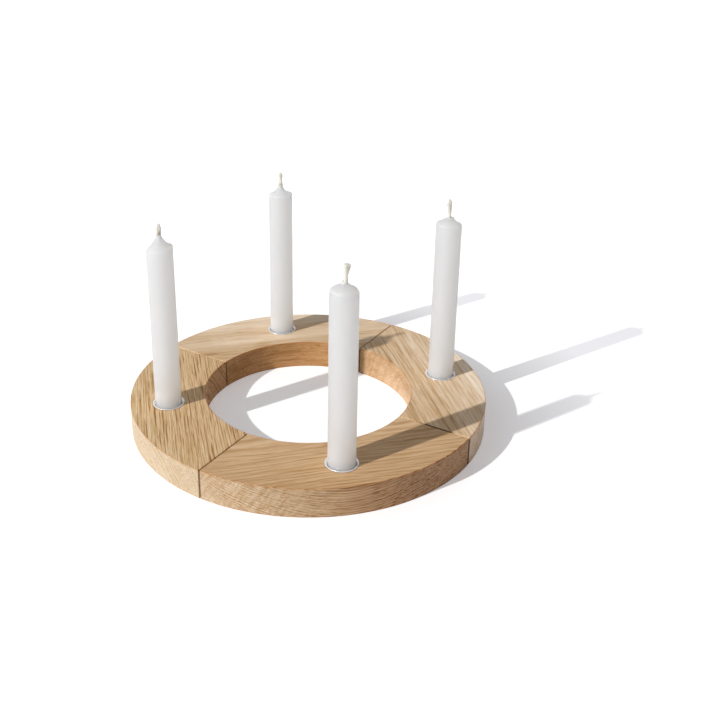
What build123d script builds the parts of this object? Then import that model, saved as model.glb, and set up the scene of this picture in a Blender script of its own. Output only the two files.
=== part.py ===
from build123d import *
import os
from math import cos, radians, sin, tan

# Candle ring of four oak segments, each with a pressed metal cup, a candle and its wick.
# Millimetres and degrees. +Z is up, and the origin is on the table at the ring's centre.

# Oak ring, cut into equal segments that stand side by side; bearing of each one's middle
segment_bearing = {"front": -90, "right": 0, "back": 90, "left": 180}
ring_outer_d = 180.0
ring_inner_d = 105.0
ring_height = 15.0
joint_gap = 0.5  # open line between two neighbouring segments
edge_ease = 0.4  # rounding sanded on every outside edge of the wood

# Candle cups, pressed from sheet metal
wood_under_cup = 3.6  # oak left below the blind hole
cup_sheet = 0.4  # thickness of the sheet
cup_corner = 0.6  # inside radius between floor and wall
cup_fit = 0.1  # clearance between cup and wood, all round
lip_reach = 0.8  # how far the lip stands out past the wall
lip_flare = 70.0  # slope of the lip, from vertical
lip_bend = 0.55  # radius of the bend into the lip, at mid sheet
lip_rise = 0.35  # height of the lip's edge above the wood

# Candles
candle_d = 13.0
candle_fit = 0.15  # clearance between candle and cup, all round
base_bevel = 0.8
shoulder_round = 1.0
wax_collar = 0.25  # wax left round the wick at the cone's tip

# Wicks
wick_d = 2.2
wick_fit = 0.05  # clearance between wick and wax, all round
wick_bend = 7.0  # radius of the bend above the wax
wick_root = 1.0  # straight stretch above the wax, up to the bend's corner

# No two candles are quite alike: the round body's length, the height of the wax cone on it and
# how far the cone's side is drawn in, the wick left standing above the cone, and that wick's
# lean and the bearing it leans to
candle_sizes = {
    "front": {"body": 96.2, "cone": 3.0, "hollow": 0.4, "wick": 8.8, "lean": 9.0, "lean_bearing": -12.0},
    "right": {"body": 95.0, "cone": 3.4, "hollow": 0.5, "wick": 9.6, "lean": 3.0, "lean_bearing": 160.0},
    "back": {"body": 92.6, "cone": 4.6, "hollow": 0.9, "wick": 7.8, "lean": 2.5, "lean_bearing": 40.0},
    "left": {"body": 94.0, "cone": 6.0, "hollow": 1.0, "wick": 6.2, "lean": 4.0, "lean_bearing": -20.0},
}

# Worked out from the sizes above
half_angle = 180 / len(segment_bearing)
ring_outer_r = ring_outer_d / 2
ring_inner_r = ring_inner_d / 2
cup_circle_r = (ring_outer_r + ring_inner_r) / 2
candle_r = candle_d / 2
wick_r = wick_d / 2
wick_bore_r = wick_r + wick_fit
cup_inner_r = candle_r + candle_fit
cup_outer_r = cup_inner_r + cup_sheet
cup_floor_z = wood_under_cup + cup_sheet  # the candle stands here
lip_edge_z = ring_height + lip_rise
half_sheet = cup_sheet / 2


def lip_corner_z(offset):
    """Height where the wall, moved outwards by offset from mid sheet, turns into the lip."""
    mid_corner_z = lip_edge_z - half_sheet - lip_reach / tan(radians(lip_flare))
    return mid_corner_z - offset * tan(radians(lip_flare / 2))


def oak_segment():
    """A quarter of the ring, its middle on +X, with a flared blind hole for the cup."""
    # The wedge's sides lie half a gap inside the cutting planes
    wedge_tip = joint_gap / 2 / sin(radians(half_angle))
    wedge_reach = 2 * ring_outer_r
    wedge_side = wedge_reach * tan(radians(half_angle))
    plan = Circle(ring_outer_r) - Circle(ring_inner_r)
    plan &= make_face(
        Polyline(
            (wedge_tip, 0),
            (wedge_tip + wedge_reach, -wedge_side),
            (wedge_tip + wedge_reach, wedge_side),
            close=True,
        )
    )
    block = extrude(plan, amount=ring_height)
    block = fillet(block.edges(), radius=edge_ease)
    return block - Pos(cup_circle_r, 0, 0) * cup_hole()


def cup_hole():
    """The blind hole that a cup drops into, with a countersink that follows its lip."""
    offset = half_sheet + cup_fit
    wall_r = cup_outer_r + cup_fit
    corner_z = lip_corner_z(offset)
    mouth_z = lip_edge_z + cup_sheet
    mouth_r = wall_r + (mouth_z - corner_z) * tan(radians(lip_flare))
    profile = make_face(
        Polyline(
            (0, wood_under_cup),
            (wall_r, wood_under_cup),
            (wall_r, corner_z),
            (mouth_r, mouth_z),
            (0, mouth_z),
            close=True,
        )
    )
    corner = profile.vertices().sort_by_distance((wall_r, corner_z))[0]
    profile = fillet(corner, radius=lip_bend - offset)
    return revolve(Plane.XZ * profile, axis=Axis.Z)


def metal_cup():
    """A drawn cup of even sheet: floor, straight wall and a lip flared out to a round edge."""
    mid_r = cup_inner_r + half_sheet
    edge_r = cup_outer_r + lip_reach - half_sheet
    edge_z = lip_edge_z - half_sheet
    floor_mid_z = cup_floor_z - half_sheet
    mid_sheet = FilletPolyline(
        (0, floor_mid_z),
        (mid_r, floor_mid_z),
        (mid_r, lip_corner_z(0)),
        (edge_r, edge_z),
        radius=[cup_corner + half_sheet, lip_bend],
    )
    profile = trace(mid_sheet, line_width=cup_sheet)
    profile += Pos(edge_r, edge_z) * Circle(half_sheet)
    return revolve(Plane.XZ * profile, axis=Axis.Z)


def wax_candle(sizes):
    """A round candle standing on the cup's floor, with a hollow-sided cone up to the wick."""
    shoulder_z = cup_floor_z + sizes["body"]
    tip_z = shoulder_z + sizes["cone"]
    collar_r = wick_bore_r + wax_collar
    outline = Polyline(
        (collar_r, tip_z),
        (wick_bore_r, tip_z),
        (wick_bore_r, cup_floor_z),
        (candle_r - base_bevel, cup_floor_z),
        (candle_r, cup_floor_z + base_bevel),
        (candle_r, shoulder_z),
    )
    outline += SagittaArc((candle_r, shoulder_z), (collar_r, tip_z), -sizes["hollow"])
    profile = make_face(outline)
    shoulder = profile.vertices().sort_by_distance((candle_r, shoulder_z))[0]
    profile = fillet(shoulder, radius=shoulder_round)
    return revolve(Plane.XZ * profile, axis=Axis.Z)


def cotton_wick(sizes):
    """A round cord from the candle's base up through the wax, bent over a little at its tip."""
    bend_z = cup_floor_z + sizes["body"] + sizes["cone"] + wick_root
    free = sizes["wick"] - wick_root
    lean = radians(sizes["lean"])
    bearing = radians(sizes["lean_bearing"])
    tip = (
        free * sin(lean) * cos(bearing),
        free * sin(lean) * sin(bearing),
        bend_z + free * cos(lean),
    )
    route = FilletPolyline((0, 0, cup_floor_z), (0, 0, bend_z), tip, radius=wick_bend)
    section = Plane(origin=(0, 0, cup_floor_z), z_dir=(0, 0, 1)) * Circle(wick_r)
    return sweep(section, path=route)


os.makedirs("parts", exist_ok=True)
for place, bearing in segment_bearing.items():
    sizes = candle_sizes[place]
    turn = Rot(0, 0, bearing)
    cup_axis = turn * Pos(cup_circle_r, 0, 0)
    candle_axis = Pos(*cup_axis.position)
    export_step(turn * oak_segment(), f"parts/segment_{place}.step")
    export_step(cup_axis * metal_cup(), f"parts/cup_{place}.step")
    export_step(candle_axis * wax_candle(sizes), f"parts/candle_{place}.step")
    export_step(candle_axis * cotton_wick(sizes), f"parts/wick_{place}.step")
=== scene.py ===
"""Looks of the candle ring: oak segments, metal cups, white candles and cotton wicks.

Sizes are millimetres and degrees, and turn into metres and radians where a piece, its finish, the
lamp or the camera is made.
+Z is up, and the origin is on the table at the ring's centre.
"""

import math

import bpy
import numpy as np
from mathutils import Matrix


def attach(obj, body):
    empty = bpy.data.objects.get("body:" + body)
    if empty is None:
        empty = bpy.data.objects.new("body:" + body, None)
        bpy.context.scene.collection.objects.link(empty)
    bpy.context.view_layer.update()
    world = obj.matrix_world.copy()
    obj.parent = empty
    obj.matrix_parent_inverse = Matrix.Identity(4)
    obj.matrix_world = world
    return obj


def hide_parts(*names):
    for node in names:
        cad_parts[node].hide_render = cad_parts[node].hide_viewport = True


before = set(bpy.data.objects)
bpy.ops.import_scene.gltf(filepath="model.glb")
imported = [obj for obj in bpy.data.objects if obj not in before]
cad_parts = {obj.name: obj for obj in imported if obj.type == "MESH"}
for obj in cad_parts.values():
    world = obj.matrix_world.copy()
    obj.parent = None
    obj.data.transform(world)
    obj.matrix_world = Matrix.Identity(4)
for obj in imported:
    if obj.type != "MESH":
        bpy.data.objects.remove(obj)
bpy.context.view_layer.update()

MM = 0.001

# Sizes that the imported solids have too
SEGMENT_BEARING = {"front": -90.0, "right": 0.0, "back": 90.0, "left": 180.0}
RING_OUTER_R = 90.0
RING_INNER_R = 52.5
RING_HEIGHT = 15.0
CUP_CIRCLE_R = 71.25
CUP_FLOOR_Z = 4.0
CANDLE_R = 6.5
BASE_BEVEL = 0.8
WICK_ROOT = 1.0

# No two candles are alike. body, cone, wick, lean and lean_bearing are the solids' own sizes.
# slant is how much higher the shoulder stands on its high side than at the middle, round_high and
# round_low its rounding on both sides, hollow how far the cone is drawn in, collar the wax's radius
# at the wick, and crumb the height of a crumb of wax beside the wick. thick is the wick's thickness
# against the others, tip_taper how much of it is left at the cut tip, twist_start its turn there and
# twist_pitch the length of one whole turn of its strands.
CANDLES = {
    "front": {
        "body": 96.2,
        "cone": 3.0,
        "wick": 8.8,
        "lean": 9.0,
        "lean_bearing": -12.0,
        "slant": 0.15,
        "high_bearing": 190.0,
        "round_high": 0.8,
        "round_low": 1.7,
        "hollow": 1.5,
        "collar": 1.2,
        "crumb": 0.0,
        "thick": 1.2,
        "tip_taper": 1.0,
        "twist_start": 0.0,
        "twist_pitch": 26.0,
    },
    "right": {
        "body": 95.0,
        "cone": 3.4,
        "wick": 9.6,
        "lean": 3.0,
        "lean_bearing": 160.0,
        "slant": 0.4,
        "high_bearing": 168.0,
        "round_high": 1.0,
        "round_low": 0.8,
        "hollow": 1.6,
        "collar": 1.15,
        "crumb": 0.9,
        "thick": 1.0,
        "tip_taper": 0.25,
        "twist_start": -0.115,
        "twist_pitch": 26.0,
    },
    "back": {
        "body": 92.6,
        "cone": 4.6,
        "wick": 7.8,
        "lean": 2.5,
        "lean_bearing": 40.0,
        "slant": 0.15,
        "high_bearing": -12.0,
        "round_high": 0.5,
        "round_low": 0.7,
        "hollow": 2.1,
        "collar": 1.0,
        "crumb": 0.0,
        "thick": 1.0,
        "tip_taper": 0.30,
        "twist_start": -0.108,
        "twist_pitch": 12.0,
    },
    "left": {
        "body": 94.0,
        "cone": 6.0,
        "wick": 6.2,
        "lean": 4.0,
        "lean_bearing": -20.0,
        "slant": 0.6,
        "high_bearing": -12.0,
        "round_high": 0.5,
        "round_low": 1.5,
        "hollow": 2.0,
        "collar": 1.15,
        "crumb": 0.0,
        "thick": 1.0,
        "tip_taper": 0.30,
        "twist_start": -0.115,
        "twist_pitch": 26.0,
    },
}

# Wax: points round a candle, and rows of them along each stretch of its profile
WAX_SIDES = 128
BEVEL_ROWS = 3
SIDE_ROWS = 39
SHOULDER_ROWS = 8
CONE_ROWS = 24

# The base is closed at its middle and has a narrow rim inside its bevel. The side lies a little
# inside the solid's and has shallow waves: their height, their count round the candle and the climb
# that shifts them by a radian.
BASE_MIDDLE_R = 0.5
BASE_RIM = 0.1
SIDE_INSET = 0.035
SIDE_WAVES = ((0.02, 2, 9.0), (0.015, 3, -14.0))

# Lumps on the cone: their height, and the counts round the candle of the two waves in them
LUMP_HEIGHT = 0.16
LUMP_COUNTS = (3, 5)

# The crumb of wax: its bearing, its distance from the wick's middle, its width, and how far the
# cosine of the bearing drops to its edge
CRUMB_BEARING = -12.0
CRUMB_OUT = 2.1
CRUMB_WIDTH = 0.5
CRUMB_DROP = 0.05

# The collar's rows above the cone: how far inside the collar's radius the first ones are, the radii
# of the last ones, which lie inside the wick, and how far all of them stand above the cone's tip
COLLAR_INSETS = (0.18, 0.32)
COLLAR_END_R = (0.5, 0.3)
COLLAR_RISES = (0.3, 0.6, 0.9, 0.9)

# Reach of the thin wax round the wick, and of the wick's root above the wax
THIN_REACH = 1.4
ROOT_REACH = 3.0

# Cotton: the radius of each of two strands and how far it lies from the wick's middle, the yarns
# round both, the length of one turn of the yarns, and how far they stand out, as a share of the
# radius. The tip narrows over its own length, and its end is trimmed. The tube has a row of points
# at each step along the wick, and as many points round it as it has sides.
STRAND_R = 0.82
STRAND_OFFSET = 0.50
YARNS = 10
YARN_PITCH = 5.5
YARN_RELIEF = 0.05
TIP_LENGTH = 2.4
TIP_TRIM = 0.5
WICK_STEP = 0.35
WICK_SIDES = 48

# Order and steps of the smooth line along a wick, and the angle from which an edge stays sharp
LINE_ORDER = 3
LINE_STEPS = 64
SHARP_ANGLE = 50.0

# How much of a groove's depth lies between the strands, and between the yarns; the cotton is painted
# darker and tan there, as shade in the creases
STRAND_GROOVE = 0.8
YARN_GROOVE = 0.2

# Wood of each segment, in the segment's own frame: x along its chord, y in to the ring's centre.
# seed picks the stretch of wood, turn is the grain's turn from the chord, tilt the lean of the growth
# layers' normal from upright towards the centre, pith how far away the layers' middle is, layer the
# thickness of a year's growth and bend how far the grain wanders. band, silk, line, dash and glow
# weigh broad bands, soft streaks, yearly lines, dark pores and light fibres. broken is how much of the
# yearly lines is broken into dashes. cross and fleck weigh the rays on the outer wall and the flecks
# on the inner one, and wall and hole how much of the lines and pores those walls show. heart is how
# much darker the board gets towards the centre. tone is the board's own colour. outer tints the outer
# milled wall against its top with painted light and shade: paler where it faces the key lamp, darker
# and redder where it turns away. inner darkens and reddens the inner milled wall, partly the wood's
# own tone and partly painted shade where the wall faces away from the key. ends is the darkness of its
# sawn edges at the joints, partly darker end grain and partly painted shade of the gap.
# A pair holds the values at the low and the high end of x. OAK_STOPS is the row of colours from dark
# to light that the board's tone multiplies.
OAK = {
    "front": {
        "seed": 1.0,
        "turn": 2.0,
        "tilt": -24.0,
        "pith": 110.0,
        "layer": 1.05,
        "bend": 2.6,
        "band": 0.10,
        "silk": 0.10,
        "line": 0.32,
        "broken": 0.5,
        "dash": 0.14,
        "glow": 0.12,
        "cross": 0.36,
        "fleck": 0.03,
        "wall": (1.2, 1.75),
        "hole": 1.0,
        "heart": -0.08,
        "tone": (1.01, 1.01, 0.99),
        "outer": ((0.93, 1.05, 1.28), (0.80, 0.72, 0.73)),
        "inner": (1.0, 1.0, 1.0),
        "ends": (0.1, 1.0),
    },
    "right": {
        "seed": 2.0,
        "turn": -1.0,
        "tilt": 78.0,
        "pith": 150.0,
        "layer": 2.4,
        "bend": 1.3,
        "band": 0.38,
        "silk": 0.16,
        "line": 0.26,
        "broken": 1.0,
        "dash": 0.15,
        "glow": 0.12,
        "cross": 0.10,
        "fleck": 0.16,
        "wall": (0.8, 0.8),
        "hole": 0.55,
        "heart": 0.11,
        "tone": (1.28, 1.50, 1.89),
        "outer": ((0.92, 0.91, 1.0), (1.0, 1.05, 1.12)),
        "inner": (0.77, 0.68, 0.60),
        "ends": (1.0, 0.1),
    },
    "back": {
        "seed": 3.0,
        "turn": 1.0,
        "tilt": -9.0,
        "pith": 140.0,
        "layer": 2.2,
        "bend": 2.2,
        "band": 0.44,
        "silk": 0.18,
        "line": 0.16,
        "broken": 1.0,
        "dash": 0.12,
        "glow": 0.12,
        "cross": 0.10,
        "fleck": 0.03,
        "wall": (1.0, 1.0),
        "hole": 1.0,
        "heart": 0.16,
        "tone": (1.24, 1.44, 1.78),
        "outer": ((1.0, 1.0, 1.0), (1.0, 1.0, 1.0)),
        "inner": (0.74, 0.55, 0.35),
        "ends": (0.1, 0.0),
    },
    "left": {
        "seed": 4.0,
        "turn": -2.0,
        "tilt": 66.0,
        "pith": 90.0,
        "layer": 1.4,
        "bend": 2.0,
        "band": 0.10,
        "silk": 0.10,
        "line": 0.56,
        "broken": 1.0,
        "dash": 0.24,
        "glow": 0.20,
        "cross": 0.10,
        "fleck": 0.03,
        "wall": (0.5, 0.5),
        "hole": 1.0,
        "heart": 0.04,
        "tone": (1.14, 1.23, 1.25),
        "outer": ((0.83, 0.91, 1.09), (0.83, 0.91, 1.09)),
        "inner": (0.80, 0.66, 0.55),
        "ends": (0.0, 0.1),
    },
}
OAK_STOPS = (
    (0.0, (0.230, 0.098, 0.032)),
    (0.30, (0.435, 0.240, 0.096)),
    (0.60, (0.590, 0.378, 0.203)),
    (1.0, (0.760, 0.560, 0.365)),
)

# Marks in the oak: their sizes along, across and through the grain, and the detail and roughness of
# the noise that they are cut from. A seed of 1 moves the board along the grain by one stride.
MARKS = {
    "slow_bend": ((85.0, 34.0, 34.0), 1.0, 0.5),
    "small_bend": ((19.0, 5.0, 5.0), 2.0, 0.5),
    "long_pore": ((30.0, 1.1, 1.1), 1.0, 0.5),
    "short_pore": ((14.0, 0.6, 0.6), 1.0, 0.5),
    "fibre": ((16.0, 0.62, 0.62), 2.0, 0.6),
    "silk": ((50.0, 2.6, 2.6), 3.0, 0.6),
    "band": ((150.0, 9.0, 9.0), 2.0, 0.55),
    "patch": ((45.0, 22.0, 22.0), 2.0, 0.5),
}
SEED_STRIDE = 371.0

# Growth layers: the swing of the small bends, how often and how far the thickness of a layer varies,
# the shares of a layer where its dark line comes in and fades, where the noise that breaks the lines
# is cut and how far apart two layers lie in it, the runs of both kinds of line between breaks, how
# many fainter lines there are to a year and how dark those are
SMALL_BEND = 1.3
YEAR_CHANGES = 0.16
YEAR_UNEVEN = 1.6
LINE_COMES = (0.0, 0.16)
LINE_FADES = (0.60, 0.24)
BREAK_EDGE = (0.36, 0.64)
BREAK_STRIDE = 3.7
EARLY_RUN = 26.0
LATER_RUN = 14.0
LATER_LINES = 1.7
LATER_SHARE = 0.6

# Where the noise of pores, fibres and flecks is cut, and how much of a dash's width is full
LONG_PORE_CUT = (0.56, 0.70)
SHORT_PORE_CUT = (0.53, 0.68)
FIBRE_CUT = (0.50, 0.66)
FLECK_CUT = (0.5, 0.68)
DASH_CORE = 0.35

# Rays: sizes, width and share of those in the board, then the sizes and the lean of those that cross
# the outer wall, the stretches of the chord where they come in towards its ends and their share at
# the high end, and the sizes of the inner wall's flecks
RAY_SIZES = (6.0, 0.55, 9.0)
RAY_WIDTH = 0.42
RAY_SHARE = 0.3
CROSS_SIZES = (1.9, 1.0, 14.0)
CROSS_LEAN = -0.55
CROSS_LOW_END = (-12.0, -38.0)
CROSS_HIGH_END = (0.0, 24.0)
CROSS_HIGH_SHARE = 0.5
FLECK_SIZES = (0.9, 1.0, 3.0)

# Place of plain wood on the row of colours, and the weights of patches and rays there
PLAIN_TONE = 0.66
PATCH_WEIGHT = 0.12
RAY_WEIGHT = 0.07

# The painted light and shade of a milled wall starts and is full this far under it, and goes from its
# low to its high value along this stretch of the chord
WALL_START = 0.45
WALL_FULL = 0.1
WALL_CHANGE = (-32.0, 28.0)

# Rims, darker and browner along the rounded edges: their colour, its share, and the distances from the
# rim where it starts and is full
RIM_SHADE = (0.93, 0.75, 0.58)
RIM_SHARE = 0.9
RIM_START = 0.9
RIM_FULL = 0.1

# Sawn edges at the joints, dark partly from darker end grain and partly from painted shade of the gap
# between segments: the colour, the distances from the sawn face and from the segment's skin where it
# starts and is full, how much wider it is on the outer wall and its least share on both walls. The top
# counts from TOP_START below it and is full at TOP_FULL. There the painted shade fades towards the
# hole and the rim, from the first distance to the second, where the top lies in the sun, and stays
# where a candle's shadow crosses the joint.
SAWN_GRAIN_AND_GAP_SHADE = (0.28, 0.20, 0.15)
SAWN_START = 0.75
SAWN_FULL = 0.45
SAWN_WIDER = 0.45
SAWN_ON_WALLS = 0.6
SKIN_START = 1.2
SKIN_FULL = 0.5
TOP_START = 1.2
TOP_FULL = 0.4
SUNLIT_BY_HOLE = (16.0, 6.0)
SUNLIT_BY_RIM = (11.0, 6.0)

# Skin of the oak: roughness of its fibres and how much the pores add, heights of fibres and lines
# against the pores' depth, that depth, and how strong the relief and the gloss are
OAK_ROUGH = (0.46, 0.62)
PORE_ROUGH = 0.2
FIBRE_HEIGHT = 0.35
LINE_HEIGHT = -0.6
OAK_RELIEF = 0.12
OAK_RELIEF_SHARE = 0.5
OAK_GLOSS = 0.35

# Detail and roughness of the noise in the tool's rings and the cotton, and in the wax's clouds
FINE_NOISE = (3.0, 0.6)
CLOUD_NOISE = (3.0, 0.55)

# Metal of the cups: sizes of the tool's rings and of the bloom's patches, colours of the bloom, the
# ranges of bare metal and of roughness, and the depth and strength of the relief
TOOL_RINGS = (0.09, 1.0, 0.09)
BLOOM_PATCHES = (3.0, 3.0, 3.0)
BLOOM_STOPS = (
    (0.25, (0.72, 0.73, 0.74)),
    (0.75, (0.80, 0.81, 0.82)),
)
CUP_BARE = (0.15, 0.65)
CUP_ROUGH = (0.26, 0.38)
CUP_RELIEF = 0.01
CUP_RELIEF_SHARE = 0.6

# Wax: sizes of its clouds, of the streaks along it and of its pits, with the pits' width and share,
# its colours, roughness and gloss, and the heights of all three in its relief
WAX_CLOUDS = (7.0, 7.0, 22.0)
WAX_STREAKS = (0.9, 0.9, 30.0)
WAX_PITS = (1.6, 1.6, 1.6)
PIT_WIDTH = 0.22
PIT_SHARE = 0.2
WAX_STOPS = (
    (0.25, (0.952, 0.941, 0.912)),
    (0.75, (0.97, 0.959, 0.93)),
)
WAX_ROUGH = (0.42, 0.60)
WAX_GLOSS = 0.4
CLOUD_HEIGHT = 0.8
STREAK_HEIGHT = 0.5
PIT_HEIGHT = -0.6
WAX_RELIEF = 0.05
WAX_RELIEF_SHARE = 0.5

# How far light goes into the wax, and the shares of that for red, green and blue light. It goes less
# far at the cup's mouth, from under the oak's top to above it, and in the thin wax round the wick.
WAX_REACH = 110.0
WAX_REACH_RGB = (1.0, 0.95, 0.88)
MOUTH_REACH = 42.0
MOUTH_BELOW = (-9.0, -1.0)
MOUTH_ABOVE = (16.0, 0.0)
THIN_WAX_SHARE = 0.025

# Cotton: sizes of its fibres round and along the wick, its colours from groove to crown, the weights
# of fibres and of the grooves' painted shade there, its roughness and gloss, how far light goes into
# the free wick and into its root, with the shares for red, green and blue light, and its relief
COTTON_FIBRES = (0.03, 1.6, 1.0)
COTTON_STOPS = (
    (0.0, (0.46, 0.345, 0.22)),
    (0.5, (0.66, 0.61, 0.52)),
    (1.0, (0.75, 0.73, 0.675)),
)
COTTON_TONE = 0.72
COTTON_FIBRE_TONE = 0.35
COTTON_GROOVE_SHADE = 0.5
COTTON_ROUGH = (0.8, 0.9)
COTTON_GLOSS = 0.2
COTTON_REACH = 7.0
COTTON_ROOT_REACH = 0.4
COTTON_REACH_RGB = (1.0, 0.95, 0.85)
COTTON_RELIEF = 0.06
COTTON_RELIEF_SHARE = 0.7

# Floor: half its width, its colours in light and as a background, and how strongly it is lifted to
# white as a background near the ring and far from it. The lift is a glow that only the camera and
# reflections see; it grows away from the ring, so the floor's shadows are painted lighter and a little
# bluer far out than beside the ring.
FLOOR_HALF = 12000.0
FLOOR_COLOUR = (0.92, 0.92, 0.92, 1.0)
LIFT_COLOUR = (0.947, 0.944, 1.0, 1.0)
LIFT_NEAR_R = 95.0
LIFT_FAR_R = 170.0
LIFT_NEAR = 0.27
LIFT_FAR = 0.625

# Light: one low key lamp from the front left, and an even, nearly white fill from all round. Rays
# that show the background see the white backdrop instead of the fill.
KEY_TOWARDS = (-0.788, -0.295, 0.54)
KEY_STRENGTH = 3.2
KEY_SOFTNESS = 1.2
FILL_COLOUR = (1.0, 0.985, 0.965, 1.0)
FILL_STRENGTH = 0.275
BACKDROP_COLOUR = (1.0, 1.0, 1.0, 1.0)
BACKDROP_STRENGTH = 1.0

# Camera, turned round the ring from straight in front of the front segment
CAMERA_BEARING = -12.25
CAMERA_BACK = 457.0
CAMERA_UP = 267.5
CAMERA_DOWNWARD = 23.3
CAMERA_SENSOR = 36.0
CAMERA_LENS = 50.65
CAMERA_SHIFT = (0.072, -0.1)
CAMERA_NEAR = 10.0
CAMERA_FAR = 100000.0


class Nodes:
    """A node tree in the making: each call adds one node and wires what feeds it."""

    def __init__(self, tree):
        self.tree = tree

    def feed(self, node, socket, value):
        """Wires another node's output to an input, or sets the input's own number or colour."""
        if isinstance(value, bpy.types.NodeSocket):
            self.tree.links.new(value, node.inputs[socket])
        else:
            node.inputs[socket].default_value = value

    def add(self, kind, feeds, **settings):
        """Adds a node with its settings and feeds its inputs."""
        node = self.tree.nodes.new(kind)
        for setting, value in settings.items():
            setattr(node, setting, value)
        for socket, value in feeds.items():
            self.feed(node, socket, value)
        return node

    def math(self, operation, first, second=0.0):
        """One sum on numbers."""
        return self.add("ShaderNodeMath", {0: first, 1: second}, operation=operation).outputs[0]

    def times(self, first, second):
        """The product of two numbers."""
        return self.math("MULTIPLY", first, second)

    def weigh(self, value, weight, onto):
        """onto + value * weight."""
        feeds = {0: value, 1: weight, 2: onto}
        return self.add("ShaderNodeMath", feeds, operation="MULTIPLY_ADD").outputs[0]

    def step(self, value, start, end):
        """Smooth step from 0 at start to 1 at end."""
        feeds = {"Value": value, "From Min": start, "From Max": end}
        node = self.add("ShaderNodeMapRange", feeds, interpolation_type="SMOOTHSTEP")
        return node.outputs["Result"]

    def between(self, share, low, high):
        """low at a share of 0, and high at 1."""
        return self.weigh(share, high - low, low)

    def length(self, vector):
        """The length of a vector."""
        return self.add("ShaderNodeVectorMath", {0: vector}, operation="LENGTH").outputs["Value"]

    def background_share(self):
        """1 for rays from the camera and rays mirrored or bent by the object, 0 for its lighting."""
        path = self.add("ShaderNodeLightPath", {}).outputs
        direct = self.math("MAXIMUM", path["Is Camera Ray"], path["Is Glossy Ray"])
        return self.math("MAXIMUM", direct, path["Is Transmission Ray"])


class Finish(Nodes):
    """A surface's material, whose patterns are counted in millimetres."""

    def __init__(self, name):
        self.material = bpy.data.materials.new(name)
        self.material.use_nodes = True
        super().__init__(self.material.node_tree)
        self.shader = self.tree.nodes["Principled BSDF"]

    def surface(self, **feeds):
        """Feeds the shader's own inputs, whose names are written with _ for a space."""
        for socket, value in feeds.items():
            self.feed(self.shader, socket.replace("_", " "), value)

    def millimetres(self, turn=0.0, shift=(0.0, 0.0, 0.0)):
        """Object coordinates in millimetres, turned about Z and then shifted."""
        coords = self.add("ShaderNodeTexCoord", {}).outputs["Object"]
        feeds = {
            "Vector": coords,
            "Location": shift,
            "Rotation": (0.0, 0.0, math.radians(turn)),
            "Scale": (1 / MM, 1 / MM, 1 / MM),
        }
        return self.add("ShaderNodeMapping", feeds).outputs["Vector"]

    def moved(self, vector, offset):
        """Coordinates moved by an offset."""
        node = self.add("ShaderNodeVectorMath", {0: vector, 1: offset}, operation="ADD")
        return node.outputs["Vector"]

    def turned(self, vector, axis, angle):
        """Coordinates turned about an axis, in degrees."""
        feeds = {"Vector": vector, "Angle": math.radians(angle)}
        return self.add("ShaderNodeVectorRotate", feeds, rotation_type=axis).outputs["Vector"]

    def grains(self, vector, sizes):
        """Coordinates counted in grains of the given sizes, in millimetres."""
        counts = tuple(1 / size for size in sizes)
        node = self.add("ShaderNodeVectorMath", {0: vector, 1: counts}, operation="MULTIPLY")
        return node.outputs["Vector"]

    def split(self, vector):
        """The three coordinates apart."""
        return self.add("ShaderNodeSeparateXYZ", {"Vector": vector}).outputs

    def join(self, x, y, z):
        """Three numbers as one coordinate."""
        return self.add("ShaderNodeCombineXYZ", {"X": x, "Y": y, "Z": z}).outputs["Vector"]

    def noise(self, vector, detail=2.0, roughness=0.5):
        """Soft noise between 0 and 1 with one lump to a grain."""
        feeds = {"Vector": vector, "Scale": 1.0, "Detail": detail, "Roughness": roughness}
        return self.add("ShaderNodeTexNoise", feeds).outputs[0]

    def cells(self, vector):
        """Scattered cells: the distance from each one's middle, and a number of its own."""
        node = self.add("ShaderNodeTexVoronoi", {"Vector": vector, "Scale": 1.0})
        own = self.split(node.outputs["Color"])
        return node.outputs["Distance"], own["X"]

    def dashes(self, vector, sizes, width, share):
        """Long drops at the middle of a share of the cells, 1 inside and 0 outside."""
        distance, own = self.cells(self.grains(vector, sizes))
        drop = self.step(distance, width, width * DASH_CORE)
        kept = self.math("LESS_THAN", own, share)
        return self.times(drop, kept)

    def attribute(self, name):
        """A number that the mesh carries at each of its points."""
        return self.add("ShaderNodeAttribute", {}, attribute_name=name).outputs["Fac"]

    def ramp(self, value, stops):
        """A colour read off a row of stops."""
        node = self.add("ShaderNodeValToRGB", {"Fac": value})
        elements = node.color_ramp.elements
        while len(elements) < len(stops):
            elements.new(0.5)
        for element, (place, colour) in zip(elements, stops):
            element.position = place
            element.color = (*colour, 1.0)
        return node.outputs["Color"]

    def tint(self, colour, shade, share):
        """The colour multiplied by a shade, by a share between 0 and 1."""
        feeds = {"Factor": share, 6: colour, 7: (*shade, 1.0)}
        node = self.add("ShaderNodeMix", feeds, data_type="RGBA", blend_type="MULTIPLY")
        return node.outputs[2]

    def bump(self, height, depth, strength=1.0):
        """A relief whose height of 1 stands for depth, in millimetres."""
        feeds = {"Height": height, "Distance": depth * MM, "Strength": strength}
        return self.add("ShaderNodeBump", feeds).outputs["Normal"]


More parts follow.
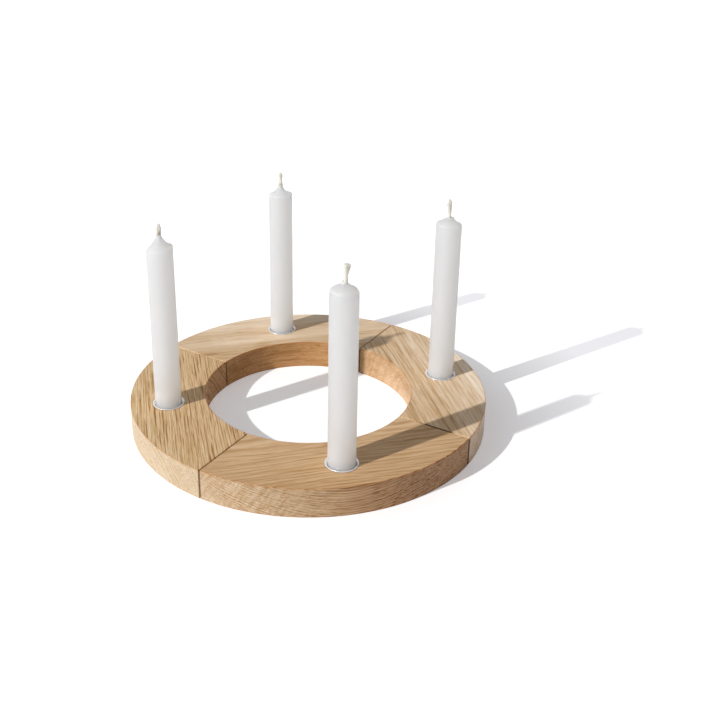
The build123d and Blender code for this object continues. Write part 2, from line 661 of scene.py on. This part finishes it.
class OakBoard(Finish):
    """Solid oak of one segment, the same inside as on the surface.

    Growth layers are tubes about a pith beside the board: the distance from the pith, bent a little
    by noise, counted in layers. Each layer starts with a dark line of open pores and fades to plain
    late wood. Pores are thin streaks, which show as dashes along the grain and as dots across it.
    Fibres, rays, flecks and broad bands of colour come on top. The two milled walls carry painted
    light and shade, paler towards the key lamp and darker away from it, with some of the wood's own
    tone; the rims are darker and browner, and the sawn edges at the joints are dark, partly from
    darker end grain and partly from painted shade of the gaps.
    """

    def __init__(self, place, wood):
        super().__init__(f"oak_{place}")
        self.wood = wood
        to_chord = -(SEGMENT_BEARING[place] + 90.0)
        own = self.millimetres(to_chord, (0.0, CUP_CIRCLE_R, -RING_HEIGHT / 2))
        self.x, self.y, self.z = self.split(own)
        grain = self.turned(own, "Z_AXIS", -wood["turn"])
        self.grain = self.moved(grain, (wood["seed"] * SEED_STRIDE, 0.0, 0.0))
        self.to_centre = self.math("SUBTRACT", CUP_CIRCLE_R, self.y)
        self.ring_r = self.length(self.join(self.x, self.to_centre, 0.0))
        self.outer_wall = self.step(self.ring_r, RING_OUTER_R - WALL_START, RING_OUTER_R - WALL_FULL)
        self.inner_wall = self.step(self.ring_r, RING_INNER_R + WALL_START, RING_INNER_R + WALL_FULL)
        self.along_wall = self.step(self.x, *WALL_CHANGE)

    def marks(self, name):
        """Soft noise between 0 and 1 with one lump to a mark of that name."""
        sizes, detail, roughness = MARKS[name]
        return self.noise(self.grains(self.grain, sizes), detail, roughness)

    def year_lines(self, count, along, run):
        """Dark lines at the start of each layer, broken by the board's share into dashes of a run."""
        layer = self.math("FRACT", count)
        dark = self.times(self.step(layer, *LINE_COMES), self.step(layer, *LINE_FADES))
        number = self.math("FLOOR", count)
        place = self.join(self.math("DIVIDE", along, run), self.times(number, BREAK_STRIDE), 0.0)
        kept = self.step(self.noise(place), *BREAK_EDGE)
        return self.times(dark, self.between(kept, 1.0 - self.wood["broken"], 1.0))

    def growth_lines(self):
        """The dark line that each year starts with, and the fainter ones between."""
        wood = self.wood
        bend = self.between(self.marks("slow_bend"), -wood["bend"], wood["bend"])
        bend = self.weigh(self.marks("small_bend"), SMALL_BEND, bend)
        along, across, up = self.split(self.grain)
        tilt = math.radians(wood["tilt"])
        from_pith_y = self.math("ADD", across, wood["pith"] * math.sin(tilt))
        from_pith_z = self.math("ADD", up, wood["pith"] * math.cos(tilt))
        from_pith = self.length(self.join(0.0, from_pith_y, from_pith_z))
        radius = self.math("ADD", from_pith, bend)
        changes = {"W": radius, "Scale": YEAR_CHANGES, "Detail": 1.0}
        year = self.add("ShaderNodeTexNoise", changes, noise_dimensions="1D")
        uneven = self.weigh(year.outputs[0], wood["layer"] * YEAR_UNEVEN, radius)
        count = self.math("DIVIDE", uneven, wood["layer"])
        early = self.year_lines(count, along, EARLY_RUN)
        later = self.year_lines(self.times(count, LATER_LINES), along, LATER_RUN)
        return self.math("MAXIMUM", early, self.times(later, LATER_SHARE))

    def pores(self):
        """Open pores of their own: long and short dashes along the grain."""
        long_pores = self.step(self.marks("long_pore"), *LONG_PORE_CUT)
        short_pores = self.step(self.marks("short_pore"), *SHORT_PORE_CUT)
        return self.math("MAXIMUM", long_pores, short_pores)

    def rays(self):
        """Pale rays, which stand across the growth layers."""
        across_layers = self.turned(self.grain, "X_AXIS", self.wood["tilt"])
        return self.dashes(across_layers, RAY_SIZES, RAY_WIDTH, RAY_SHARE)

    def cross_rays(self):
        """Rays that cross the grain at the ends of the outer wall, darker or lighter than it."""
        leaning = self.weigh(self.z, CROSS_LEAN, self.x)
        cross = self.noise(self.grains(self.join(leaning, 0.0, self.z), CROSS_SIZES), 1.0)
        cross = self.times(self.math("SUBTRACT", cross, 0.5), self.outer_wall)
        low_end = self.step(self.x, *CROSS_LOW_END)
        high_end = self.step(self.x, *CROSS_HIGH_END)
        return self.times(cross, self.weigh(high_end, CROSS_HIGH_SHARE, low_end))

    def flecks(self):
        """Pale flecks that lean across the inner wall."""
        leaning = self.math("ADD", self.z, self.x)
        flecks = self.noise(self.grains(self.join(leaning, 0.0, self.z), FLECK_SIZES), 1.0)
        return self.times(self.step(flecks, *FLECK_CUT), self.inner_wall)

    def clear_share(self):
        """How much of the lines and pores shows: 1 on the flat faces, the board's own on its walls."""
        low_wall, high_wall = self.wood["wall"]
        wall_gain = self.between(self.along_wall, low_wall - 1.0, high_wall - 1.0)
        clear = self.weigh(self.outer_wall, wall_gain, 1.0)
        return self.weigh(self.inner_wall, self.wood["hole"] - 1.0, clear)

    def tone(self, lines, pores, fibres):
        """The place of every point on the row of oak colours, from dark to light."""
        wood = self.wood
        middle = PLAIN_TONE - wood["band"] - wood["silk"] - PATCH_WEIGHT / 2
        tone = self.weigh(self.marks("band"), wood["band"] * 2, middle)
        tone = self.weigh(self.marks("silk"), wood["silk"] * 2, tone)
        tone = self.weigh(self.marks("patch"), PATCH_WEIGHT, tone)
        tone = self.weigh(self.y, -2.0 * wood["heart"] / (RING_OUTER_R - RING_INNER_R), tone)
        tone = self.weigh(lines, -wood["line"], tone)
        tone = self.weigh(self.step(fibres, *FIBRE_CUT), wood["glow"], tone)
        tone = self.weigh(self.rays(), RAY_WEIGHT, tone)
        tone = self.weigh(self.cross_rays(), 2.0 * wood["cross"], tone)
        tone = self.weigh(self.flecks(), wood["fleck"], tone)
        return self.weigh(pores, -wood["dash"], tone)

    def wall_painted_light(self, colour):
        """Painted light and shade on the milled walls, partly the wood's own tone."""
        # Outer wall: paler towards the key lamp, darker and redder where it turns away, as painted
        # light and shade.
        outer_light_low_end, outer_light_high_end = self.wood["outer"]
        high_share = self.times(self.outer_wall, self.along_wall)
        low_share = self.math("SUBTRACT", self.outer_wall, high_share)
        colour = self.tint(colour, outer_light_low_end, low_share)
        colour = self.tint(colour, outer_light_high_end, high_share)
        return self.tint(colour, self.wood["inner"], self.inner_wall)

    def edge_tint(self, colour):
        """Dark sawn edges at the joints, partly darker end grain and partly painted shade of the gaps,
        and darker, browner rims.

        Distances are measured from the round walls, the flat faces and the sawn faces. The larger
        one of the first two is the distance to a rim, and the smaller one the depth under the skin.
        """
        from_middle = self.math("ABSOLUTE", self.math("SUBTRACT", self.ring_r, CUP_CIRCLE_R))
        wall = self.math("SUBTRACT", (RING_OUTER_R - RING_INNER_R) / 2, from_middle)
        face = self.math("SUBTRACT", RING_HEIGHT / 2, self.math("ABSOLUTE", self.z))
        beside = self.math("SUBTRACT", self.to_centre, self.math("ABSOLUTE", self.x))
        joint = self.times(beside, math.sqrt(0.5))

        # Painted shade of the gap: as strong as each end's share, wider on the outer wall at a dark
        # end, and left out of the top beside the hole and the rim, where the sun falls on it.
        low_end, high_end = self.wood["ends"]
        end = self.between(self.math("GREATER_THAN", self.x, 0.0), low_end, high_end)
        wider = self.times(end, self.outer_wall)
        hole_start, hole_full = SUNLIT_BY_HOLE
        near_hole = self.step(self.ring_r, RING_INNER_R + hole_start, RING_INNER_R + hole_full)
        rim_start, rim_full = SUNLIT_BY_RIM
        near_rim = self.step(self.ring_r, RING_OUTER_R - rim_start, RING_OUTER_R - rim_full)
        on_top = self.step(self.z, RING_HEIGHT / 2 - TOP_START, RING_HEIGHT / 2 - TOP_FULL)
        sunlit_stretch = self.times(on_top, self.math("MAXIMUM", near_hole, near_rim))
        end = self.times(end, self.math("SUBTRACT", 1.0, sunlit_stretch))
        walls = self.math("MAXIMUM", self.outer_wall, self.inner_wall)
        end = self.math("MAXIMUM", end, self.times(walls, SAWN_ON_WALLS))
        sawn = self.step(self.weigh(wider, -SAWN_WIDER, joint), SAWN_START, SAWN_FULL)
        skin = self.step(self.math("MINIMUM", wall, face), SKIN_START, SKIN_FULL)
        colour = self.tint(colour, SAWN_GRAIN_AND_GAP_SHADE, self.times(self.times(sawn, end), skin))

        rim = self.step(self.math("MAXIMUM", wall, face), RIM_START, RIM_FULL)
        return self.tint(colour, RIM_SHADE, self.times(rim, RIM_SHARE))


def oak_finish(place, wood):
    """The oak of one segment: its colours, and a relief with sunken pores and lines."""
    board = OakBoard(place, wood)
    clear = board.clear_share()
    lines = board.times(board.growth_lines(), clear)
    pores = board.times(board.pores(), clear)
    fibres = board.marks("fibre")
    stops = [(at, tuple(c * w for c, w in zip(colour, wood["tone"]))) for at, colour in OAK_STOPS]
    colour = board.ramp(board.tone(lines, pores, fibres), stops)
    colour = board.edge_tint(board.wall_painted_light(colour))
    rough = board.weigh(pores, PORE_ROUGH, board.between(fibres, *OAK_ROUGH))
    relief = board.weigh(pores, -1.0, board.times(fibres, FIBRE_HEIGHT))
    relief = board.weigh(lines, LINE_HEIGHT, relief)
    board.surface(
        Base_Color=colour,
        Roughness=rough,
        Specular_IOR_Level=OAK_GLOSS,
        Normal=board.bump(relief, OAK_RELIEF, OAK_RELIEF_SHARE),
    )
    return board.material


def cup_finish(place):
    """Drawn metal with a dull grey bloom on it, thicker in patches, and fine rings from the tool."""
    finish = Finish(f"cup_metal_{place}")
    own = finish.millimetres(0.0, tuple(-candle_axis(place)))
    east, north, up = finish.split(own)
    rings = finish.join(finish.length(finish.join(east, north, 0.0)), 0.0, up)
    marks = finish.noise(finish.grains(rings, TOOL_RINGS), *FINE_NOISE)
    patch = finish.noise(finish.grains(own, BLOOM_PATCHES))
    finish.surface(
        Base_Color=finish.ramp(patch, BLOOM_STOPS),
        Metallic=finish.between(patch, *CUP_BARE),
        Roughness=finish.between(marks, *CUP_ROUGH),
        Normal=finish.bump(marks, CUP_RELIEF, CUP_RELIEF_SHARE),
    )
    return finish.material


def wax_finish():
    """White wax: light goes deep into it, less so at the cup and the wick, and its skin is uneven."""
    finish = Finish("white_wax")
    own = finish.millimetres()
    cloud = finish.noise(finish.grains(own, WAX_CLOUDS), *CLOUD_NOISE)
    streak = finish.noise(finish.grains(own, WAX_STREAKS))
    pits = finish.dashes(own, WAX_PITS, PIT_WIDTH, PIT_SHARE)
    relief = finish.weigh(streak, STREAK_HEIGHT, finish.times(cloud, CLOUD_HEIGHT))
    relief = finish.weigh(pits, PIT_HEIGHT, relief)
    height = finish.math("SUBTRACT", finish.split(own)["Z"], RING_HEIGHT)
    mouth = finish.times(finish.step(height, *MOUTH_BELOW), finish.step(height, *MOUTH_ABOVE))
    reach = finish.between(mouth, WAX_REACH * MM, MOUTH_REACH * MM)
    thin = finish.step(finish.attribute("thin"), 0.0, 1.0)
    finish.surface(
        Base_Color=finish.ramp(cloud, WAX_STOPS),
        Roughness=finish.between(cloud, *WAX_ROUGH),
        Specular_IOR_Level=WAX_GLOSS,
        Subsurface_Weight=1.0,
        Subsurface_Radius=WAX_REACH_RGB,
        Subsurface_Scale=finish.times(reach, finish.between(thin, 1.0, THIN_WAX_SHARE)),
        Normal=finish.bump(relief, WAX_RELIEF, WAX_RELIEF_SHARE),
    )
    return finish.material


def cotton_finish():
    """Cream cotton: fibres along each strand, and painted shade, darker and tan, in the grooves
    between strands and yarns.
    """
    finish = Finish("cotton")
    fibre_map = finish.add("ShaderNodeUVMap", {}, uv_map="fibre").outputs["UV"]
    fibres = finish.noise(finish.grains(fibre_map, COTTON_FIBRES), *FINE_NOISE)
    groove_shade = finish.times(finish.attribute("groove"), COTTON_GROOVE_SHADE)
    tone = finish.weigh(fibres, COTTON_FIBRE_TONE, finish.math("SUBTRACT", COTTON_TONE, groove_shade))
    root = finish.step(finish.attribute("root"), 0.0, 1.0)
    finish.surface(
        Base_Color=finish.ramp(tone, COTTON_STOPS),
        Roughness=finish.between(fibres, *COTTON_ROUGH),
        Specular_IOR_Level=COTTON_GLOSS,
        Subsurface_Weight=1.0,
        Subsurface_Radius=COTTON_REACH_RGB,
        Subsurface_Scale=finish.between(root, COTTON_REACH * MM, COTTON_ROOT_REACH * MM),
        Normal=finish.bump(fibres, COTTON_RELIEF, COTTON_RELIEF_SHARE),
    )
    return finish.material


def candle_axis(place):
    """Where a candle stands, on the circle through the middle of the oak."""
    bearing = math.radians(SEGMENT_BEARING[place])
    return np.array([math.cos(bearing), math.sin(bearing), 0.0]) * CUP_CIRCLE_R


def tube_faces(rows, columns):
    """Corner numbers of a closed tube's faces: between neighbouring rows, then at its two ends."""
    row = np.arange(rows - 1)[:, None]
    column = np.arange(columns)[None, :]
    next_column = (column + 1) % columns
    corners = (
        row * columns + column,
        row * columns + next_column,
        (row + 1) * columns + next_column,
        (row + 1) * columns + column,
    )
    faces = np.stack(corners, axis=-1).reshape(-1, 4).tolist()
    faces.append(list(range(columns - 1, -1, -1)))
    faces.append(list(range((rows - 1) * columns, rows * columns)))
    return faces


def put_in_scene(name, data):
    """A new object in the scene, at the origin."""
    piece = bpy.data.objects.new(name, data)
    bpy.context.scene.collection.objects.link(piece)
    return piece


def make_piece(name, points, faces, finish):
    """A smooth mesh object in the scene, from points in millimetres and lists of corners."""
    mesh = bpy.data.meshes.new(name)
    mesh.from_pydata((points * MM).tolist(), [], faces)
    mesh.shade_smooth()
    mesh.set_sharp_from_angle(angle=math.radians(SHARP_ANGLE))
    mesh.materials.append(finish)
    return put_in_scene(name, mesh)


def carry(piece, name, values):
    """Gives each point of a piece a number of its own, which its finish reads by name."""
    attribute = piece.data.attributes.new(name, "FLOAT", "POINT")
    attribute.data.foreach_set("value", values.ravel())


def wax_candle(place, finish):
    """A wax body: one profile of radius and height, carried round the candle's axis.

    The profile runs from the middle of the base out, up the side, over the shoulder and along the
    cone to the wick, which the wax closes round. The shoulder's height goes from the high side to
    the low side with the cosine of the bearing, and its rounding with the cube of half of 1 plus
    that cosine. On the cone the height above the shoulder is the rise times (1 - share)^hollow,
    where share is 0 at the wick and 1 at the side. Lumps on it are the sum of two sines of the
    bearing, times 4 * share * (1 - share).
    """
    looks = CANDLES[place]
    around = np.linspace(0.0, 2 * np.pi, WAX_SIDES, endpoint=False)[None, :]
    high = np.cos(around - math.radians(looks["high_bearing"]))
    base_z = CUP_FLOOR_Z
    shoulder_z = base_z + looks["body"] + looks["slant"] * high
    high_share = (0.5 + 0.5 * high) ** 3
    rounding = looks["round_low"] + (looks["round_high"] - looks["round_low"]) * high_share
    tip_z = base_z + looks["body"] + looks["cone"]
    rise = tip_z - shoulder_z
    ones = np.ones_like(around)

    def top_height(radius):
        """Height of the cone at a radius, with faint lumps and the crumb beside the wick."""
        share = (radius - looks["collar"]) / (CANDLE_R - looks["collar"])
        share = np.clip(share, 0.0, 1.0)
        height = shoulder_z + rise * (1.0 - share) ** looks["hollow"]
        few, many = LUMP_COUNTS
        lump = 0.5 * np.sin(few * around + looks["body"])
        lump = lump + 0.5 * np.sin(many * around + 2 * looks["cone"])
        height = height + LUMP_HEIGHT * lump * share * (1.0 - share) * 4.0
        side = np.cos(around - math.radians(CRUMB_BEARING))
        crumb = np.exp(-(((radius - CRUMB_OUT) / CRUMB_WIDTH) ** 2) - ((1.0 - side) / CRUMB_DROP))
        return height + looks["crumb"] * crumb

    # Base, bevel and side
    rim_r = CANDLE_R - BASE_BEVEL
    base_r = np.array([BASE_MIDDLE_R, rim_r - BASE_RIM, rim_r])[:, None] * ones
    base_rows = np.full_like(base_r, base_z)
    bevel = np.linspace(0.0, 1.0, BEVEL_ROWS + 1)[1:, None]
    bevel_r = (CANDLE_R - BASE_BEVEL * (1.0 - bevel)) * ones
    bevel_rows = (base_z + BASE_BEVEL * bevel) * ones
    climb = np.linspace(0.0, 1.0, SIDE_ROWS + 1)[1:, None]
    side_rows = base_z + BASE_BEVEL + climb * (shoulder_z - rounding - base_z - BASE_BEVEL)
    waves = [depth * np.sin(count * around + side_rows / shift) for depth, count, shift in SIDE_WAVES]
    side_r = CANDLE_R - SIDE_INSET + sum(waves)

    # Shoulder, as a quarter circle laid on the cone, then the cone
    quarter = np.linspace(0.0, 0.5 * np.pi, SHOULDER_ROWS + 1)[1:, None]
    shoulder_r = CANDLE_R - rounding * (1.0 - np.cos(quarter))
    shoulder_rows = top_height(shoulder_r) - rounding * (1.0 - np.sin(quarter))
    inward = np.linspace(0.0, 1.0, CONE_ROWS + 1)[1:, None]
    cone_r = (CANDLE_R - rounding) + (looks["collar"] - CANDLE_R + rounding) * inward
    cone_rows = top_height(cone_r)

    # The collar climbs the wick a little and closes inside it
    climbing_r = [looks["collar"] - inset for inset in COLLAR_INSETS]
    collar_r = np.array([*climbing_r, *COLLAR_END_R])[:, None] * ones
    collar_rows = (tip_z + np.array(COLLAR_RISES))[:, None] * ones

    radius = np.vstack([base_r, bevel_r, side_r, shoulder_r, cone_r, collar_r])
    height = np.vstack([base_rows, bevel_rows, side_rows, shoulder_rows, cone_rows, collar_rows])
    points = np.stack([radius * np.cos(around), radius * np.sin(around), height], axis=-1)
    points = points.reshape(-1, 3) + candle_axis(place)
    piece = make_piece(f"wax_{place}", points, tube_faces(len(radius), WAX_SIDES), finish)

    # How thin the wax is round the wick: 1 at the collar, 0 a little way down the cone
    thin_share = np.clip(1.0 - (radius - looks["collar"]) / THIN_REACH, 0.0, 1.0)
    thin_share[: -len(cone_r) - len(collar_r)] = 0.0
    carry(piece, "thin", thin_share)
    return piece


def wick_route(place):
    """The wick's route from the candle's base: straight up through the wax, then over to its tip.

    The points are the solid's, with one more on the long run, as far below the bend as the tip is
    above it.
    """
    looks = CANDLES[place]
    bend_z = CUP_FLOOR_Z + looks["body"] + looks["cone"] + WICK_ROOT
    free = looks["wick"] - WICK_ROOT
    lean = math.radians(looks["lean"])
    bearing = math.radians(looks["lean_bearing"])
    tip = (
        free * math.sin(lean) * math.cos(bearing),
        free * math.sin(lean) * math.sin(bearing),
        bend_z + free * math.cos(lean),
    )
    route = np.array([(0, 0, CUP_FLOOR_Z), (0, 0, bend_z - free), (0, 0, bend_z), tip])
    return route + candle_axis(place)


def smooth_line(name, route):
    """Points along the smooth line whose control points are the route."""
    curve = bpy.data.curves.new(name, "CURVE")
    curve.dimensions = "3D"
    spline = curve.splines.new("NURBS")
    spline.points.add(len(route) - 1)
    spline.points.foreach_set("co", np.column_stack([route, np.ones(len(route))]).ravel())
    spline.order_u = LINE_ORDER
    spline.use_endpoint_u = True
    spline.resolution_u = LINE_STEPS
    holder = bpy.data.objects.new(name, curve)
    line = bpy.data.meshes.new_from_object(holder)
    points = np.zeros(len(line.vertices) * 3)
    line.vertices.foreach_get("co", points)
    bpy.data.meshes.remove(line)
    bpy.data.objects.remove(holder)
    bpy.data.curves.remove(curve)
    return points.reshape(-1, 3)


def cotton_wick(place, finish):
    """Two cotton strands laid round each other along the wick's line, as one closed tube.

    The section is the outline of two circles side by side. Seen from the middle, its radius at an
    angle from the line through both is offset * |cos| + sqrt(strand_r^2 - offset^2 * sin^2). It turns
    once in every twist pitch, with a shallow wave for the yarns, which wind the other way, and it
    narrows or spreads towards the cut tip.
    """
    looks = CANDLES[place]
    line = smooth_line(f"wick_route_{place}", wick_route(place))
    lengths = np.linalg.norm(np.diff(line, axis=0), axis=1)
    run = np.concatenate([[0.0], np.cumsum(lengths)])
    total = run[-1] - TIP_TRIM
    rows = int(total / WICK_STEP)
    along = np.linspace(0.0, total, rows)
    middle = np.column_stack([np.interp(along, run, line[:, axis]) for axis in range(3)])
    heading = np.gradient(middle, along, axis=0)
    heading /= np.linalg.norm(heading, axis=1, keepdims=True)
    first_side = np.cross(heading, (0.0, 1.0, 0.0))
    first_side /= np.linalg.norm(first_side, axis=1, keepdims=True)
    second_side = np.cross(heading, first_side)

    to_tip = np.clip((total - along) / TIP_LENGTH, 0.0, 1.0)[:, None]
    narrow = looks["tip_taper"] + (1.0 - looks["tip_taper"]) * np.sqrt(to_tip)
    angle = np.linspace(0.0, 2 * np.pi, WICK_SIDES, endpoint=False)[None, :]
    twist = 2 * np.pi * ((total - along)[:, None] / looks["twist_pitch"] + looks["twist_start"])
    lay = angle - twist
    beyond = np.sqrt(STRAND_R**2 - (STRAND_OFFSET * np.sin(lay)) ** 2)
    outline = STRAND_OFFSET * np.abs(np.cos(lay)) + beyond
    wave = np.cos(YARNS * lay - 2 * np.pi * along[:, None] / YARN_PITCH)
    radius = looks["thick"] * narrow * outline * (1.0 + YARN_RELIEF * wave)
    points = (
        middle[:, None, :]
        + (radius * np.cos(angle))[..., None] * first_side[:, None, :]
        + (radius * np.sin(angle))[..., None] * second_side[:, None, :]
    )
    faces = tube_faces(rows, WICK_SIDES)
    piece = make_piece(f"cotton_{place}", points.reshape(-1, 3), faces, finish)

    # How deep each point lies in the grooves, where the cotton gets its painted shade, how near the
    # wax it is, and the fibres' own map
    between_strands = np.sin(lay) ** 2
    between_yarns = 0.5 - 0.5 * wave
    carry(piece, "groove", STRAND_GROOVE * between_strands**3 + YARN_GROOVE * between_yarns)
    above_wax = along - looks["body"] - looks["cone"]
    root_share = np.clip(1.0 - above_wax / ROOT_REACH, 0.0, 1.0)
    carry(piece, "root", np.repeat(root_share, WICK_SIDES))
    corner_u = np.array([0, 1, 1, 0])[None, None, :] + np.arange(WICK_SIDES)[None, :, None]
    corner_v = np.array([0, 0, 1, 1])[None, None, :] + np.arange(rows - 1)[:, None, None]
    corner_u = np.broadcast_to(corner_u / WICK_SIDES, (rows - 1, WICK_SIDES, 4))
    corner_v = np.broadcast_to(corner_v * WICK_STEP, (rows - 1, WICK_SIDES, 4))
    sides = np.stack([corner_u, corner_v], axis=-1).reshape(-1, 2)
    ends = np.zeros((2 * WICK_SIDES, 2))
    layer = piece.data.uv_layers.new(name="fibre")
    layer.data.foreach_set("uv", np.vstack([sides, ends]).ravel())
    return piece


def dress(node, finish):
    """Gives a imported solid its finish."""
    node.data.materials.clear()
    node.data.materials.append(finish)


def pale_floor():
    """A wide matt floor, lifted to white where the background shows it."""
    material = bpy.data.materials.new("pale_floor")
    material.use_nodes = True
    nodes = Nodes(material.node_tree)
    nodes.tree.nodes.clear()
    from_ring = nodes.length(nodes.add("ShaderNodeTexCoord", {}).outputs["Object"])
    near_to_far = {
        "Value": from_ring,
        "From Min": LIFT_NEAR_R * MM,
        "From Max": LIFT_FAR_R * MM,
        "To Min": LIFT_NEAR,
        "To Max": LIFT_FAR,
    }
    lift = nodes.add("ShaderNodeMapRange", near_to_far).outputs["Result"]
    shown_lift = nodes.times(nodes.background_share(), lift)
    matt = nodes.add("ShaderNodeBsdfDiffuse", {"Color": FLOOR_COLOUR}).outputs[0]
    glow = nodes.add("ShaderNodeEmission", {"Color": LIFT_COLOUR, "Strength": shown_lift}).outputs[0]
    both = nodes.add("ShaderNodeAddShader", {0: matt, 1: glow}).outputs[0]
    nodes.add("ShaderNodeOutputMaterial", {"Surface": both})
    corners = np.array([(-1, -1, 0), (1, -1, 0), (1, 1, 0), (-1, 1, 0)]) * FLOOR_HALF * MM
    mesh = bpy.data.meshes.new("floor")
    mesh.from_pydata(corners.tolist(), [], [(0, 1, 2, 3)])
    mesh.materials.append(material)
    return put_in_scene("floor", mesh)


def key_lamp():
    """The lamp, turned so that it shines from the side that KEY_TOWARDS points to."""
    data = bpy.data.lights.new("key", "SUN")
    data.energy = KEY_STRENGTH
    data.angle = math.radians(KEY_SOFTNESS)
    east, north, up = KEY_TOWARDS
    bearing = math.atan2(north, east)
    elevation = math.atan2(up, math.hypot(east, north))
    lamp = put_in_scene("key", data)
    lamp.rotation_euler = (0.0, math.pi / 2 - elevation, bearing)
    return lamp


def studio_world():
    """A world that lights the object softly and shows white behind it."""
    world = bpy.data.worlds.new("studio")
    world.use_nodes = True
    nodes = Nodes(world.node_tree)
    nodes.tree.nodes.clear()
    fill = nodes.add("ShaderNodeBackground", {"Color": FILL_COLOUR, "Strength": FILL_STRENGTH})
    white = {"Color": BACKDROP_COLOUR, "Strength": BACKDROP_STRENGTH}
    backdrop = nodes.add("ShaderNodeBackground", white)
    parts = {"Fac": nodes.background_share(), 1: fill.outputs[0], 2: backdrop.outputs[0]}
    mixed = nodes.add("ShaderNodeMixShader", parts)
    nodes.add("ShaderNodeOutputWorld", {"Surface": mixed.outputs[0]})
    return world


def ring_camera():
    """The camera, in front of the ring and above it, with its lens shifted."""
    data = bpy.data.cameras.new("camera")
    data.sensor_width = CAMERA_SENSOR
    data.lens = CAMERA_LENS
    data.shift_x, data.shift_y = CAMERA_SHIFT
    data.clip_start = CAMERA_NEAR * MM
    data.clip_end = CAMERA_FAR * MM
    bearing = math.radians(CAMERA_BEARING)
    camera = put_in_scene("camera", data)
    camera.location = (
        CAMERA_BACK * MM * math.sin(bearing),
        -CAMERA_BACK * MM * math.cos(bearing),
        CAMERA_UP * MM,
    )
    camera.rotation_euler = (math.radians(90.0 - CAMERA_DOWNWARD), 0.0, bearing)
    return camera


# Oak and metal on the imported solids
for place, wood in OAK.items():
    dress(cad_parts[f"segment_{place}"], oak_finish(place, wood))
    dress(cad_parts[f"cup_{place}"], cup_finish(place))

# Candles and wicks
white_wax = wax_finish()
cotton = cotton_finish()
for place in CANDLES:
    candle = wax_candle(place, white_wax)
    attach(candle, f"{place}_candle")
    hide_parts(f"candle_{place}")
    wick = cotton_wick(place, cotton)
    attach(wick, f"{place}_candle")
    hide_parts(f"wick_{place}")

# Floor, light and camera
floor = pale_floor()
key_lamp()
bpy.context.scene.world = studio_world()
bpy.context.scene.camera = ring_camera()

bpy.context.scene.view_settings.view_transform = "Standard"
